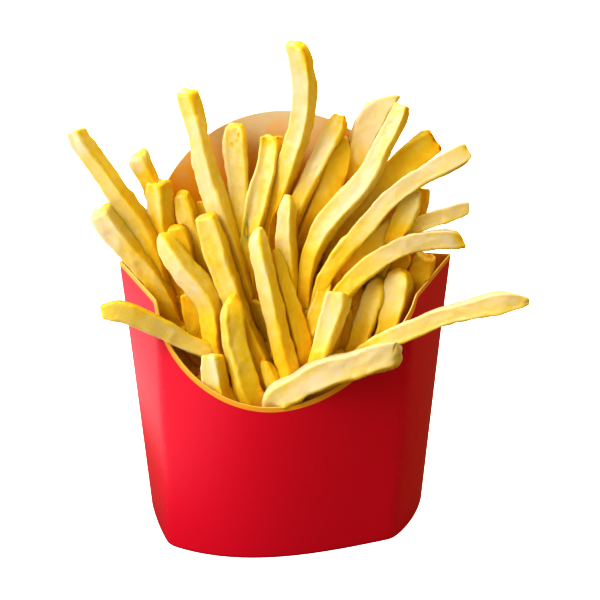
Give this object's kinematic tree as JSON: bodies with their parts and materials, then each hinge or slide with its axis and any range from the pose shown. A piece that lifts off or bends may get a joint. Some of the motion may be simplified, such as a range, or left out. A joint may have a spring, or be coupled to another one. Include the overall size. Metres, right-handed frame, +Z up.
{
  "type": "french fries in a carton",
  "caption": "Heap of thin-cut french fries standing in a folded board scoop carton with a low curved front edge and a tall round back.",
  "frame": {"origin": "on the floor plane, under the middle of the carton's flat bottom", "axes": "+Z up, +Y towards the tall back panel, +X to the right when the scooped front is faced"},
  "size_m": [0.1395, 0.0526, 0.1545],
  "materials": {
    "carton_board": "smooth printed board with a slight sheen, pale uncoated inside",
    "fried_potato": "fried crust, slightly oily"
  },
  "bodies": {
    "root": {"carton": "carton_board", "fries": "fried_potato"}
  },
  "joints": []
}
